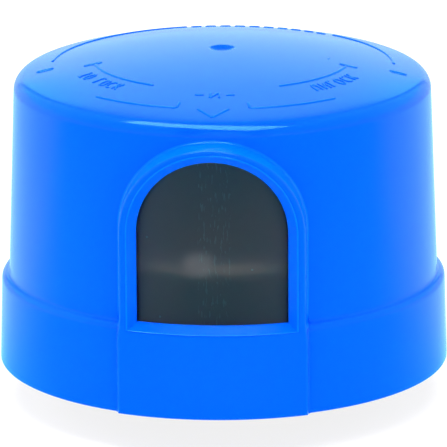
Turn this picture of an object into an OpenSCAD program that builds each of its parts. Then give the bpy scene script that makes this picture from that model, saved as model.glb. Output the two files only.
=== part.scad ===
// Twist-lock photocell switch for an outdoor lamp: a moulded weatherproof cover with an arched,
// smoked window, a recessed plug base with three locking blades and a sealing gasket, and the
// light-operated circuit inside. Sizes are in millimetres and Z is up. The origin lies on the
// plug axis in the plane of the gasket's seal face, and the window faces -Y.

/* [Cover] */
// Diameter over the rim of the skirt
rim_d = 84; // [80:0.5:96]
// Height from the rim to the middle of the domed top
cover_h = 59; // [55:0.5:72]
// Height of the drafted skirt band below its rounded shoulder
skirt_h = 15.3; // [14.8:0.1:18]
// Radius that the skirt band loses over its height
skirt_taper = 0.45; // [0.1:0.05:1]
// Radius of the shoulder between the skirt band and the side wall
shoulder_r = 1.42; // [0.8:0.02:2]
// Draft angle of the side wall above the shoulder
wall_draft = 2.1; // [0.5:0.1:4]
// Spherical radius of the domed top
dome_r = 145; // [110:5:260]
// Radius of the edge between the side wall and the dome
edge_r = 3; // [1:0.25:5]
// Thickness of the moulded wall
wall_t = 2; // [1.5:0.1:2.4]
// Radius of the dimple in the middle of the dome
gate_r = 2.4; // [1.5:0.1:4]
// Depth of the dimple in the middle of the dome
gate_depth = 0.5; // [0.2:0.1:1]

/* [Window] */
// Width of the window opening, and diameter of its arch
window_w = 27.5; // [22:0.5:30]
// Height of the opening's sill above the rim
sill_h = 17.25; // [17:0.25:22]
// Distance from the top of the frame up to the corner of wall and dome
frame_top_gap = 2.5; // [1.5:0.1:8]
// Width of the sloped reveal round the opening
reveal_w = 1.6; // [0.8:0.1:2.2]
// Depth of the sloped reveal
reveal_d = 2.2; // [1.2:0.1:2.6]
// Drop of the sill's outer edge below the opening
sill_drop = 1.2; // [0.4:0.1:2]
// Width of the land round the reveal
land_w = 1; // [0.6:0.1:1.6]
// How much the frame widens on each side on its way back to the wall
flare_w = 0.85; // [0.3:0.05:1.2]
// How far the frame stands proud of the rim
frame_proud = 1.2; // [0.6:0.1:2]
// Depth of the straight lip between the reveal and the pane
lip_t = 0.6; // [0.4:0.1:1]
// Thickness of the window pane
pane_t = 1.8; // [1.2:0.1:2.2]
// How far the pane reaches behind the edge of the opening
pane_lap = 1.5; // [0.8:0.1:1.6]
// Clearance round the pane in its pocket
pane_gap = 0.1; // [0.05:0.05:0.2]

/* [Base] */
// Depth from the rim of the skirt up to the plug face
plug_recess = 8.4; // [7.4:0.1:8.8]
// Thickness of the base floor
floor_t = 3; // [2.6:0.1:3.6]
// Height of the base's outer wall above the plug face
base_wall_h = 6; // [5:0.1:6.2]
// Thickness of the base's outer wall
base_wall_t = 2; // [1.4:0.1:2.6]
// Clearance between the base and the skirt
base_gap = 0.25; // [0.1:0.05:0.4]
// Number of stiffening ribs between floor and outer wall
rib_count = 12; // [6:6:18]
// Thickness of a stiffening rib
rib_t = 1.2; // [0.8:0.1:1.6]
// Length of a stiffening rib
rib_l = 7; // [4:0.5:8]
// Step from the top of the outer wall down to the ribs
rib_step = 1; // [0.5:0.1:1.8]

/* [Gasket] */
// Distance from the heads of the cover's screws in to the gasket ring
gasket_margin = 1.9; // [1:0.1:3]
// Width of the gasket ring
gasket_w = 7; // [5:0.25:8]
// How far the gasket stands out of the plug face
gasket_proud = 4; // [3:0.1:4.4]
// Depth of the groove that holds the gasket
groove_depth = 1.5; // [1:0.1:1.6]
// Clearance beside the gasket in its groove
groove_gap = 0.15; // [0.05:0.05:0.3]

/* [Blades] */
// Diameter of the circle on which the blades stand
blade_circle_d = 32; // [29:0.5:35]
// Thickness of the blade strip
blade_t = 1.5; // [1:0.1:1.8]
// Length of the blades below the plug face
blade_len = 15.9; // [13:0.1:17]
// Width of the line and load blades at the neck
blade_w = 7; // [5.5:0.25:8]
// Width of the neutral blade at the neck
neutral_w = 10; // [8.5:0.25:12]
// Sideways reach of the locking hook
hook_w = 3; // [2:0.1:4]
// Height of the locking hook
hook_h = 6; // [4:0.25:8]
// Clearance round a blade in its slot
slot_gap = 0.1; // [0.05:0.05:0.2]
// Width of the flange that lies on the base floor
flange_w = 6.2; // [5:0.1:6.6]
// Distance of the flange's inner end from the plug axis
flange_r = 4.6; // [4:0.1:5.4]
// Shank diameter of the rivets
rivet_d = 3; // [2.4:0.1:3.4]
// Head diameter of the rivets
rivet_head_d = 5.2; // [4.6:0.1:5.6]
// Head height of the rivets
rivet_head_h = 1; // [0.7:0.1:1.1]
// Distance of the rivets from the plug axis
rivet_r = 11.1; // [10.8:0.1:11.4]
// Clearance round a rivet shank
rivet_gap = 0.05; // [0.03:0.01:0.1]
// Depth by which the lower rivet heads lie below the plug face
rivet_sink = 0.2; // [0.1:0.05:0.3]

/* [Screws and posts] */
// Thread diameter of the cover screws
screw_d = 3; // [2.5:0.1:3.2]
// Head diameter of the cover screws
screw_head_d = 5.4; // [5:0.1:5.6]
// Head height of the cover screws
screw_head_h = 1.8; // [1.4:0.1:2.2]
// Length of the cover screws below the head
screw_len = 10; // [8:0.5:11]
// Diameter of the screw bosses in the cover and of the towers below them
boss_d = 6.4; // [6:0.1:7]
// Height of the screw bosses in the cover
boss_h = 8; // [7:0.25:9]
// Overlap of a screw boss with the wall behind it
boss_sink = 0.6; // [0.4:0.1:1]
// Clearance between a screw boss and the tower below it
boss_gap = 0.2; // [0.15:0.05:0.3]
// Clearance round a screw
screw_gap = 0.05; // [0.03:0.01:0.1]
// Clearance round a screw head in its recess
head_gap = 0.3; // [0.2:0.05:0.4]
// Diameter of the posts that carry the circuit board
post_d = 6; // [5:0.1:6.6]
// Height of the posts above the base floor
post_h = 13.4; // [11:0.1:16]
// Distance from the edge of the circuit board to the post axis
post_inset = 6; // [4:0.1:6.5]
// Thread diameter of the board screws
board_screw_d = 2.5; // [2:0.1:2.9]
// Head diameter of the board screws
board_head_d = 4.6; // [4:0.1:5.2]
// Head height of the board screws
board_head_h = 1.6; // [1.2:0.1:2]
// Length of the board screws below the head
board_screw_len = 8; // [6:0.5:10]

/* [Circuit board] */
// Thickness of the circuit board
board_t = 1.6; // [1:0.1:2]
// Clearance between the board's edge and the cover
board_gap = 4.8; // [3.6:0.1:5.4]
// Diameter over the insulation of the lead wires
wire_d = 1.8; // [1.2:0.1:2]
// Distance of the lead wires' board holes from the plug axis
wire_hole_r = 22; // [20.5:0.25:22.5]
// Angle from each blade to the hole of its lead wire
wire_turn = 30; // [24:1:34]
// Length of each lead wire above the board
wire_end = 1; // [0.5:0.1:1.5]
// Diameter of the component leads
lead_d = 0.7; // [0.5:0.05:0.9]
// Clearance round a lead in its board hole
lead_gap = 0.1; // [0.05:0.05:0.2]
// Length of the component leads below the board
lead_end = 1.4; // [0.8:0.1:2]
// Standing gap of the round-bodied components over the board
stand_off = 0.3; // [0.2:0.05:0.6]

/* [Components] */
// Diameter of the light sensor
sensor_d = 5.1; // [4:0.1:6]
// Thickness of the light sensor
sensor_t = 2.1; // [1.6:0.1:2.6]
// Sideways place of the light sensor
sensor_x = -2.7; // [-5:0.1:5]
// Pitch of the light sensor's leads
sensor_pitch = 3.4; // [2.4:0.1:3.6]
// Clearance between the light sensor and the board's edge
sensor_gap = 0.3; // [0.2:0.1:0.8]
// Length of the relay
relay_l = 19; // [16:0.5:20]
// Width of the relay
relay_w = 15.4; // [12:0.2:16]
// Height of the relay
relay_h = 15.4; // [10:0.2:18]
// Length of the film capacitor
film_l = 18; // [13:0.5:19]
// Thickness of the film capacitor
film_w = 8.4; // [5:0.2:9]
// Height of the film capacitor
film_h = 14.4; // [10:0.2:17]
// Diameter of the electrolytic capacitor
can_d = 10; // [8:0.5:10.5]
// Height of the electrolytic capacitor
can_h = 16; // [11:0.5:19]
// Diameter of the varistor disc
disc_d = 9; // [7:0.5:10]
// Thickness of the varistor disc
disc_t = 4; // [3:0.2:4.2]
// Diameter of the rectifier diodes
diode_d = 2.7; // [2:0.1:3]
// Length of the rectifier diodes
diode_l = 5; // [4:0.1:5.4]
// Diameter of the zener diode
zener_d = 2; // [1.6:0.1:2.4]
// Length of the zener diode
zener_l = 4; // [3:0.1:4.4]
// Diameter of the power resistor
power_d = 4.4; // [3.4:0.1:5]
// Length of the power resistor
power_l = 12; // [9:0.5:13]
// Diameter of the signal resistors
signal_d = 2.3; // [1.8:0.1:2.5]
// Length of the signal resistors
signal_l = 6.2; // [5:0.1:6.6]
// Diameter of the transistor body
trans_d = 4.8; // [4:0.1:5]
// Height of the transistor body
trans_h = 4.8; // [4:0.1:5.6]

/* [Hidden] */
$fn = 96;
// Small overlap that lets a cut run through a face
eps = 0.5;
// Number of steps in the rounded edge and in the dome's inner face
edge_n = 10;
dome_n = 9;
// Directions of the three blades, screws and posts
blade_dirs = [90, 210, 330];
// Levels, from the seal face
plug_z = gasket_proud;
rim_z = plug_z - plug_recess;
floor_z = plug_z + floor_t;
seat_z = plug_z + base_wall_h;
board_z = floor_z + post_h;
board_top = board_z + board_t;
tip_z = plug_z - blade_len;
// Cover profile, from the rim
rim_r = rim_d / 2;
skirt_r = rim_r - skirt_taper;
wall_r = skirt_r - shoulder_r;
wall_h = skirt_h + shoulder_r;
seat_h = seat_z - rim_z;
dome_c = [0, cover_h - dome_r];
wall_n = [cos(wall_draft), sin(wall_draft)];
wall_u = [-sin(wall_draft), cos(wall_draft)];
wall_p = [wall_r, wall_h];
// Radius of the wall's outer face at a height above the rim
function wall_at(h) = wall_r - (h - wall_h) * tan(wall_draft);
// Radius of the skirt's inner face at a height above the rim
function skirt_in(h) = rim_r - wall_t - skirt_taper * h / skirt_h;
// Point where a line p + s u reaches a circle round c with radius r, going up
function line_circle(p, u, c, r) =
    let (d = p - c, k = d * u)
    p + u * (-k + sqrt(k * k - d * d + r * r));
edge_c = line_circle(wall_p - edge_r * wall_n, wall_u, dome_c, dome_r - edge_r);
edge_a = atan2(edge_c[1] - dome_c[1], edge_c[0]);
// Point of the rounded edge, counted from the wall up to the dome
function edge_pt(i) =
    let (a = wall_draft + (edge_a - wall_draft) * i / edge_n)
    edge_c + edge_r * [cos(a), sin(a)];
corner = line_circle(wall_p, wall_u, dome_c, dome_r);
gate_ball = (gate_r * gate_r + gate_depth * gate_depth) / (2 * gate_depth);
wall_in = wall_at(seat_h) - wall_t;
inner = line_circle([wall_in, seat_h], wall_u, dome_c, dome_r - wall_t);
// Point of the dome's inner face at radius r
function dome_in(r) = [r, dome_c[1] + sqrt((dome_r - wall_t) * (dome_r - wall_t) - r * r)];
// Window frame
half_w = window_w / 2;
frame_r = rim_r + frame_proud;
sight_r = frame_r - reveal_d;
seat_r = sight_r - lip_t;
land_half = half_w + reveal_w;
frame_half = land_half + land_w;
root_half = frame_half + flare_w;
spring_h = corner[1] - frame_top_gap - root_half;
root_r = frame_r - 4.2;
arch_n = 36;
sill_n = 10;
// Base and fixings
base_r = skirt_in(seat_h) - base_gap;
screw_r = wall_in - boss_d / 2 + boss_sink;
gasket_r = screw_r - screw_head_d / 2 - gasket_margin;
board_r = wall_at(board_z - rim_z) - wall_t - board_gap;
post_r = board_r - post_inset;
blade_r = blade_circle_d / 2;
wire_r0 = flange_r + wire_d / 2 + 0.9;
// Places of the components on the board, and the pitches of their leads
relay_at = [-9.6, 8.9];
film_at = [11.6, 12];
can_at = [9, 0];
disc_at = [17.4, 0];
diode_xs = [-20.4, -17.1, -13.8, -10.5];
diode_y = -4.6;
zener_at = [12.5, -10.5];
power_at = [-0.5, -9.6];
signal_ats = [[-2, -14.6], [-2, -18.2], [11.5, -15]];
trans_at = [6.6, -18.6];
bend_l = 1.9;

// Outline of an arched opening: round on top, square below
module arch_2d(half, spring, bottom) {
    difference() {
        translate([0, spring]) circle(r = half);
        translate([-half - eps, spring - half - eps]) square([2 * half + 2 * eps, half + eps]);
    }
    translate([-half, bottom]) square([2 * half, spring - bottom]);
}

// Arched prism that runs from the plug axis out through the front
module arch_prism(half, spring, bottom) {
    rotate([90, 0, 0]) linear_extrude(frame_r + 10) arch_2d(half, spring, bottom);
}

// The same outline as a list of points, anticlockwise as seen from the front, with m steps below
function arch_points(half, spring, bottom, m) = concat(
    [for (i = [0:arch_n]) [half * cos(180 * i / arch_n), spring + half * sin(180 * i / arch_n)]],
    [for (i = [0:m]) [-half + 2 * half * i / m, bottom]]);

// A point of an outline laid on an upright cylinder of radius r
function wrap(p, r) = [p[0], -sqrt(r * r - p[0] * p[0]), p[1]];

// The point of the straight line through p and q that lies in the plane y
function at_y(p, q, y) = p + (q - p) * (y - p[1]) / (q[1] - p[1]);

// Ruled body through two outlines laid on cylinders of radius r1 and r2, between two planes
module arch_loft(a, r1, b, r2, y_front, y_back) {
    n = len(a);
    front = [for (i = [0:n - 1]) at_y(wrap(a[i], r1), wrap(b[i], r2), y_front)];
    back = [for (i = [0:n - 1]) at_y(wrap(a[i], r1), wrap(b[i], r2), y_back)];
    polyhedron(
        points = concat(front, back),
        faces = concat(
            [[for (i = [n - 1:-1:0]) i]],
            [[for (i = [0:n - 1]) n + i]],
            [for (i = [0:n - 1]) [i, (i + 1) % n, n + (i + 1) % n]],
            [for (i = [0:n - 1]) [i, n + (i + 1) % n, n + i]]));
}

// Round strand along a path that lies in one upright plane with the normal side
module strand(path, r, side, n = 8) {
    m = len(path);
    ring = [for (i = [0:m - 1])
        let (d = path[min(i + 1, m - 1)] - path[max(i - 1, 0)],
             t = d / norm(d),
             v = cross(side, t))
        for (k = [0:n - 1]) path[i] + r * (cos(360 * k / n) * side + sin(360 * k / n) * v)];
    polyhedron(
        points = ring,
        faces = concat(
            [[for (k = [n - 1:-1:0]) k]],
            [[for (k = [0:n - 1]) (m - 1) * n + k]],
            [for (i = [0:m - 2], k = [0:n - 1]) [i * n + k, i * n + (k + 1) % n, (i + 1) * n + k]],
            [for (i = [0:m - 2], k = [0:n - 1])
                [i * n + (k + 1) % n, (i + 1) * n + (k + 1) % n, (i + 1) * n + k]]));
}

// Half section of the cover's outside, with its shoulder and its rounded top edge
module cover_section() {
    polygon([[0, 0], [rim_r, 0], [skirt_r, skirt_h], [0, skirt_h]]);
    intersection() {
        translate([wall_r, skirt_h]) circle(r = shoulder_r);
        translate([wall_r, skirt_h]) square(shoulder_r + eps);
    }
    translate([0, skirt_h]) square([wall_r, shoulder_r]);
    past = 2 * edge_pt(edge_n) - edge_pt(edge_n - 1);
    intersection() {
        polygon(concat(
            [[0, wall_h], wall_p],
            [for (i = [0:edge_n - 1]) edge_pt(i)],
            [past, [past[0], cover_h + eps], [0, cover_h + eps]]));
        translate(dome_c) circle(r = dome_r, $fn = 720);
    }
}

// Half section of the cover's inside: skirt, seat for the base, side wall and dome
module cavity_section() {
    polygon([[0, -eps], [skirt_in(-eps), -eps], [skirt_in(seat_h), seat_h], [0, seat_h]]);
    polygon(concat(
        [[0, seat_h - eps], [wall_in, seat_h - eps], [wall_in, seat_h]],
        [for (i = [0:dome_n - 1]) dome_in(inner[0] * (1 - i / dome_n))],
        [[0, dome_in(inner[0] / dome_n)[1]]]));
}

module at_blades() {
    for (a = blade_dirs) rotate([0, 0, a]) children();
}

module cover() {
    color([0.05, 0.42, 0.98])
    translate([0, 0, rim_z])
    difference() {
        union() {
            difference() {
                union() {
                    rotate_extrude() cover_section();
                    intersection() {
                        cylinder(r = frame_r, h = cover_h);
                        arch_loft(arch_points(frame_half, spring_h, 0, 1), frame_r,
                                  arch_points(root_half, spring_h, 0, 1), root_r,
                                  -frame_r - 3, -wall_in + 4);
                    }
                }
                rotate_extrude() cavity_section();
            }
            at_blades() translate([screw_r, 0, seat_h + boss_gap]) cylinder(d = boss_d, h = boss_h - boss_gap);
        }
        intersection() {
            cylinder(r = seat_r, h = cover_h);
            arch_prism(half_w + pane_lap + pane_gap, spring_h, sill_h - pane_lap - pane_gap);
        }
        arch_prism(half_w, spring_h, sill_h);
        arch_loft(arch_points(land_half, spring_h, sill_h - sill_drop, sill_n), frame_r,
                  arch_points(half_w, spring_h, sill_h, sill_n), sight_r,
                  -frame_r - 3, -sight_r + 4);
        at_blades() translate([screw_r, 0, seat_h - eps])
            cylinder(d = screw_d + 2 * screw_gap, h = boss_h - 1 + eps);
        translate([0, 0, cover_h - gate_depth + gate_ball]) rotate([90, 0, 0]) sphere(r = gate_ball);
    }
}

module window_pane() {
    color([0.16, 0.2, 0.24])
    translate([0, 0, rim_z])
    intersection() {
        difference() {
            cylinder(r = seat_r - pane_gap, h = cover_h);
            translate([0, 0, -eps]) cylinder(r = seat_r - pane_gap - pane_t, h = cover_h + 2 * eps);
        }
        arch_prism(half_w + pane_lap, spring_h, sill_h - pane_lap);
    }
}

// Ring of strip thickness t on the blade circle
module blade_ring(t, z0, z1) {
    translate([0, 0, z0])
        difference() {
            cylinder(r = blade_r + t / 2, h = z1 - z0);
            translate([0, 0, -eps]) cylinder(r = blade_r - t / 2, h = z1 - z0 + 2 * eps);
        }
}

// Curved blade of neck width w with its hook on the locking side, and its flange on the base floor
module blade(w) {
    difference() {
        union() {
            intersection() {
                blade_ring(blade_t, tip_z, floor_z + blade_t / 2);
                rotate([90, 0, 90]) linear_extrude(2 * blade_r)
                    polygon([[w / 2, tip_z - eps], [w / 2, floor_z + blade_t], [-w / 2, floor_z + blade_t],
                             [-w / 2, tip_z + hook_h], [-w / 2 - hook_w, tip_z + hook_h],
                             [-w / 2 - hook_w, tip_z - eps]]);
            }
            translate([flange_r, -flange_w / 2, floor_z])
                cube([blade_r + blade_t / 8 - flange_r, flange_w, blade_t]);
        }
        translate([rivet_r, 0, floor_z - eps]) cylinder(d = rivet_d + 2 * rivet_gap, h = blade_t + 2 * eps);
    }
}

module line_blade() {
    color([0.8, 0.64, 0.26]) rotate([0, 0, blade_dirs[1]]) blade(blade_w);
}

module load_blade() {
    color([0.8, 0.64, 0.26]) rotate([0, 0, blade_dirs[2]]) blade(blade_w);
}

module neutral_blade() {
    color([0.8, 0.64, 0.26]) rotate([0, 0, blade_dirs[0]]) blade(neutral_w);
}

module blade_rivets() {
    color([0.76, 0.6, 0.28])
    at_blades() translate([rivet_r, 0, 0]) {
        z0 = plug_z + rivet_sink;
        z1 = floor_z + blade_t;
        translate([0, 0, z0]) cylinder(d = rivet_head_d, h = rivet_head_h);
        translate([0, 0, z0]) cylinder(d = rivet_d, h = z1 - z0 + rivet_head_h);
        translate([0, 0, z1]) cylinder(d = rivet_head_d, h = rivet_head_h);
    }
}

module base() {
    color([0.13, 0.13, 0.14])
    difference() {
        union() {
            rotate_extrude() polygon([[0, plug_z], [base_r, plug_z], [base_r, seat_z],
                [base_r - base_wall_t, seat_z], [base_r - base_wall_t, floor_z], [0, floor_z]]);
            at_blades() translate([screw_r, 0, plug_z]) cylinder(d = boss_d, h = base_wall_h);
            at_blades() translate([post_r, 0, floor_z - eps]) cylinder(d = post_d, h = post_h + eps);
            for (i = [0:rib_count - 1]) rotate([0, 0, (i + 0.5) * 360 / rib_count])
                translate([base_r - base_wall_t - rib_l, -rib_t / 2, floor_z - eps])
                    cube([rib_l + eps, rib_t, base_wall_h - floor_t - rib_step + eps]);
        }
        difference() {
            translate([0, 0, plug_z - eps])
                cylinder(r = gasket_r + groove_gap, h = groove_depth + eps);
            translate([0, 0, plug_z - 2 * eps])
                cylinder(r = gasket_r - gasket_w - groove_gap, h = groove_depth + 4 * eps);
        }
        for (i = [0:2]) rotate([0, 0, blade_dirs[i]])
            intersection() {
                w = (i == 0 ? neutral_w : blade_w) + 2 * slot_gap;
                blade_ring(blade_t + 2 * slot_gap, plug_z - eps, floor_z + eps);
                translate([0, -w / 2, plug_z - 2 * eps]) cube([2 * blade_r, w, floor_t + 4 * eps]);
            }
        at_blades() translate([rivet_r, 0, plug_z - eps]) {
            cylinder(d = rivet_d + 2 * rivet_gap, h = floor_t + 2 * eps);
            cylinder(d = rivet_head_d + 2 * head_gap, h = rivet_sink + rivet_head_h + eps);
        }
        at_blades() translate([screw_r, 0, plug_z - eps]) {
            cylinder(d = screw_d + 2 * screw_gap, h = base_wall_h + 2 * eps);
            cylinder(d = screw_head_d + 2 * head_gap, h = screw_head_h + eps);
        }
        at_blades() translate([post_r, 0, board_z - board_screw_len])
            cylinder(d = board_screw_d + 2 * screw_gap, h = board_screw_len + eps);
    }
}

module gasket() {
    color([0.2, 0.2, 0.2])
    difference() {
        cylinder(r = gasket_r, h = plug_z + groove_depth);
        translate([0, 0, -eps]) cylinder(r = gasket_r - gasket_w, h = plug_z + groove_depth + 2 * eps);
    }
}

// Pan-head screw that points up from z = 0, with a cross recess in the head
module screw(d, head_d, head_h, l) {
    slot = head_d * 0.6;
    difference() {
        union() {
            translate([0, 0, -head_h]) cylinder(d = head_d, h = head_h);
            translate([0, 0, -head_h / 2]) cylinder(d = d, h = l - d / 2 + head_h / 2);
            translate([0, 0, l - d / 2]) cylinder(d1 = d, d2 = d / 3, h = d / 2);
        }
        for (a = [0, 90]) rotate([0, 0, a])
            translate([-slot / 2, -d / 10, -head_h - eps]) cube([slot, d / 5, head_h / 2 + eps]);
    }
}

module cover_screws() {
    color([0.7, 0.71, 0.73])
    at_blades() translate([screw_r, 0, plug_z + screw_head_h])
        screw(screw_d, screw_head_d, screw_head_h, screw_len);
}

module board_screws() {
    color([0.7, 0.71, 0.73])
    at_blades() translate([post_r, 0, board_top]) mirror([0, 0, 1])
        screw(board_screw_d, board_head_d, board_head_h, board_screw_len);
}

// Lead wire from a blade's flange up to its hole in the board
function wire_path(dir) =
    let (p = wire_r0 * [cos(dir), sin(dir)],
         q = wire_hole_r * [cos(dir + wire_turn), sin(dir + wire_turn)],
         z0 = floor_z + blade_t + 1,
         z1 = board_z - 2)
    concat(
        [[p[0], p[1], floor_z + blade_t]],
        [for (i = [0:14]) let (t = i / 14, s = t * t * (3 - 2 * t))
            [p[0] + (q[0] - p[0]) * s, p[1] + (q[1] - p[1]) * s, z0 + (z1 - z0) * t]],
        [[q[0], q[1], board_top + wire_end]]);

module wire(dir) {
    path = wire_path(dir);
    d = path[len(path) - 1] - path[0];
    side = cross([0, 0, 1], [d[0], d[1], 0] / norm([d[0], d[1]]));
    strand(path, wire_d / 2, side, 10);
}

module line_wire() {
    color([0.1, 0.1, 0.1]) wire(blade_dirs[1]);
}

module load_wire() {
    color([0.75, 0.1, 0.08]) wire(blade_dirs[2]);
}

module neutral_wire() {
    color([0.9, 0.9, 0.88]) wire(blade_dirs[0]);
}

// Straight lead from inside a component down through the board
module pin(x, y, up = 1) {
    translate([x, y, board_z - lead_end]) cylinder(d = lead_d, h = lead_end + board_t + up, $fn = 24);
}

// Offsets of the leads of each component, used by the parts and by the holes in the board
function relay_pins() = [for (p = [[-0.4, -0.3], [-0.4, 0.3], [0.1, -0.38], [0.1, 0.38], [0.38, 0]])
    relay_at + [p[0] * relay_l, p[1] * relay_w]];
function film_pins() = [for (s = [-1, 1]) film_at + [s * film_l * 0.42, 0]];
function can_pins() = [for (s = [-1, 1]) can_at + [0, s * can_d / 4]];
function disc_pins() = [for (s = [-1, 1]) disc_at + [s * disc_t / 4, s * disc_d * 0.36]];
function trans_pins() = [for (s = [-1, 0, 1]) trans_at + [s * trans_d * 0.28, 0]];
function axial_pins(c, l, along) =
    [for (s = [-1, 1]) c + s * (l / 2 + bend_l) * (along ? [0, 1] : [1, 0])];
function sensor_pins() = [for (s = [-1, 1])
    [sensor_x + s * sensor_pitch / 2, -sqrt(board_r * board_r - sensor_x * sensor_x) + 4]];
function board_holes() = concat(
    relay_pins(), film_pins(), can_pins(), disc_pins(), trans_pins(), sensor_pins(),
    axial_pins(power_at, power_l, false), axial_pins(zener_at, zener_l, false),
    [for (x = diode_xs) each axial_pins([x, diode_y], diode_l, true)],
    [for (p = signal_ats) each axial_pins(p, signal_l, false)]);

module circuit_board() {
    color([0.68, 0.55, 0.38])
    difference() {
        translate([0, 0, board_z]) cylinder(r = board_r, h = board_t);
        at_blades() translate([post_r, 0, board_z - eps])
            cylinder(d = board_screw_d + 2 * screw_gap, h = board_t + 2 * eps);
        for (a = blade_dirs)
            translate([wire_hole_r * cos(a + wire_turn), wire_hole_r * sin(a + wire_turn), board_z - eps])
                cylinder(d = wire_d + 2 * lead_gap, h = board_t + 2 * eps);
        for (p = board_holes()) translate([p[0], p[1], board_z - eps])
            cylinder(d = lead_d + 2 * lead_gap, h = board_t + 2 * eps, $fn = 24);
    }
}

// Bent lead that leaves a body at height z in the direction u and turns down through the board
module bent_lead(start, u, run, z) {
    r = 0.6;
    end = start + u * (run - r);
    path = concat(
        [[start[0], start[1], z]],
        [for (a = [0:18:90]) [end[0] + u[0] * r * sin(a), end[1] + u[1] * r * sin(a), z - r * (1 - cos(a))]],
        [[end[0] + u[0] * r, end[1] + u[1] * r, board_z - lead_end]]);
    strand(path, lead_d / 2, [-u[1], u[0], 0]);
}

// Round body lying on the board with a bent lead at each end
module axial(c, d, l, along) {
    u = along ? [0, 1] : [1, 0];
    z = board_top + stand_off + d / 2;
    translate([c[0], c[1], z]) rotate(along ? [90, 0, 0] : [0, 90, 0]) cylinder(d = d, h = l, center = true);
    for (s = [-1, 1]) bent_lead(c + s * u * (l / 2 - 0.3), s * u, bend_l + 0.3, z);
}

module light_sensor() {
    y = -sqrt(board_r * board_r - sensor_x * sensor_x) - sensor_gap;
    z = board_top + lead_d / 2 + stand_off;
    color([0.78, 0.75, 0.7])
    translate([sensor_x, y, z]) rotate([90, 0, 0])
        intersection() {
            cylinder(d = sensor_d, h = sensor_t);
            translate([-sensor_d / 2, -sensor_d * 0.43, 0]) cube([sensor_d, sensor_d * 0.86, sensor_t]);
        }
    color([0.75, 0.75, 0.75])
    for (s = [-1, 1])
        bent_lead([sensor_x + s * sensor_pitch / 2, y - 0.3], [0, 1], 4.3 + sensor_gap, z);
}

module relay() {
    color([0.12, 0.14, 0.18])
    translate([relay_at[0] - relay_l / 2, relay_at[1] - relay_w / 2, board_top]) cube([relay_l, relay_w, relay_h]);
    color([0.75, 0.75, 0.75]) for (p = relay_pins()) pin(p[0], p[1]);
}

module film_capacitor() {
    color([0.85, 0.72, 0.2])
    translate([film_at[0] - film_l / 2, film_at[1] - film_w / 2, board_top]) cube([film_l, film_w, film_h]);
    color([0.75, 0.75, 0.75]) for (p = film_pins()) pin(p[0], p[1]);
}

module electrolytic_capacitor() {
    color([0.1, 0.1, 0.12])
    translate([can_at[0], can_at[1], board_top])
        rotate_extrude() polygon([[0, 0], [can_d / 2, 0], [can_d / 2, 1.6], [can_d / 2 - 0.5, 2],
            [can_d / 2 - 0.5, 2.6], [can_d / 2, 3], [can_d / 2, can_h - 0.5], [can_d / 2 - 0.5, can_h],
            [0, can_h]]);
    color([0.75, 0.75, 0.75]) for (p = can_pins()) pin(p[0], p[1]);
}

module varistor() {
    color([0.12, 0.3, 0.62])
    translate([disc_at[0], disc_at[1], board_top + stand_off + disc_d / 2]) rotate([0, 90, 0])
        cylinder(d = disc_d, h = disc_t, center = true);
    color([0.75, 0.75, 0.75]) for (p = disc_pins()) pin(p[0], p[1], stand_off + disc_d / 2);
}

module rectifier_diodes() {
    color([0.1, 0.1, 0.1]) for (x = diode_xs) axial([x, diode_y], diode_d, diode_l, true);
}

module zener_diode() {
    color([0.8, 0.45, 0.3]) axial(zener_at, zener_d, zener_l, false);
}

module power_resistor() {
    color([0.55, 0.65, 0.72]) axial(power_at, power_d, power_l, false);
}

module signal_resistors() {
    color([0.78, 0.68, 0.5]) for (p = signal_ats) axial(p, signal_d, signal_l, false);
}

module transistor() {
    z = board_top + 3;
    color([0.1, 0.1, 0.1])
    translate([trans_at[0], trans_at[1], z])
        difference() {
            cylinder(d = trans_d, h = trans_h);
            translate([-trans_d, -trans_d - trans_d * 0.25, -eps]) cube([2 * trans_d, trans_d, trans_h + 2 * eps]);
        }
    color([0.75, 0.75, 0.75]) for (p = trans_pins()) pin(p[0], p[1], 3.6);
}

cover();
window_pane();
base();
gasket();
line_blade();
load_blade();
neutral_blade();
blade_rivets();
cover_screws();
circuit_board();
board_screws();
light_sensor();
relay();
film_capacitor();
electrolytic_capacitor();
varistor();
rectifier_diodes();
zener_diode();
power_resistor();
signal_resistors();
transistor();
line_wire();
load_wire();
neutral_wire();
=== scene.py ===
"""Photocell switch: a blue moulded cover with an arched smoked window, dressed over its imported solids.

Shapes are worked out in millimetres, with heights counted from the rim of the skirt, and put into the
meshes in metres with the seal face of the gasket at z = 0. The window faces -Y.
"""
import math

import bpy
import numpy as np
from mathutils import Matrix, Quaternion, Vector


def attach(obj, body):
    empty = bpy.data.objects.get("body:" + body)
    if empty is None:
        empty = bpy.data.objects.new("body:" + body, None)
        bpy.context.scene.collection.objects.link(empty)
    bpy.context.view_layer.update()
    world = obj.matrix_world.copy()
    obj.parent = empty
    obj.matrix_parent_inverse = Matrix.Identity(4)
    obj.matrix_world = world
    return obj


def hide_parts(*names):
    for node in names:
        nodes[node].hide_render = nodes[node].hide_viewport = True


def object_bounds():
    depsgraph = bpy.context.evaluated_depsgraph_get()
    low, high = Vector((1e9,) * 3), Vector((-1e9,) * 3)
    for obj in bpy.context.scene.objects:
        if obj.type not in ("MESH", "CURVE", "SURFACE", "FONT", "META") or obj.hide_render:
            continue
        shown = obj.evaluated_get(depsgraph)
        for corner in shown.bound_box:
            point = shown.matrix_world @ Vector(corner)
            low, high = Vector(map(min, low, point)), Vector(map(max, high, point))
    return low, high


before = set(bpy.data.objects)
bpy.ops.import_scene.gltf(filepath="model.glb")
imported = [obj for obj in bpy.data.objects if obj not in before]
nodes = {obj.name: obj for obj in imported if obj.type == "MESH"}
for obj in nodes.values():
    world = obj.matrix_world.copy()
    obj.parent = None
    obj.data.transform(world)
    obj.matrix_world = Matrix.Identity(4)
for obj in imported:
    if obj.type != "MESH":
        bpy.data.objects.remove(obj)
cad_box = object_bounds()
scene = bpy.context.scene

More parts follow.
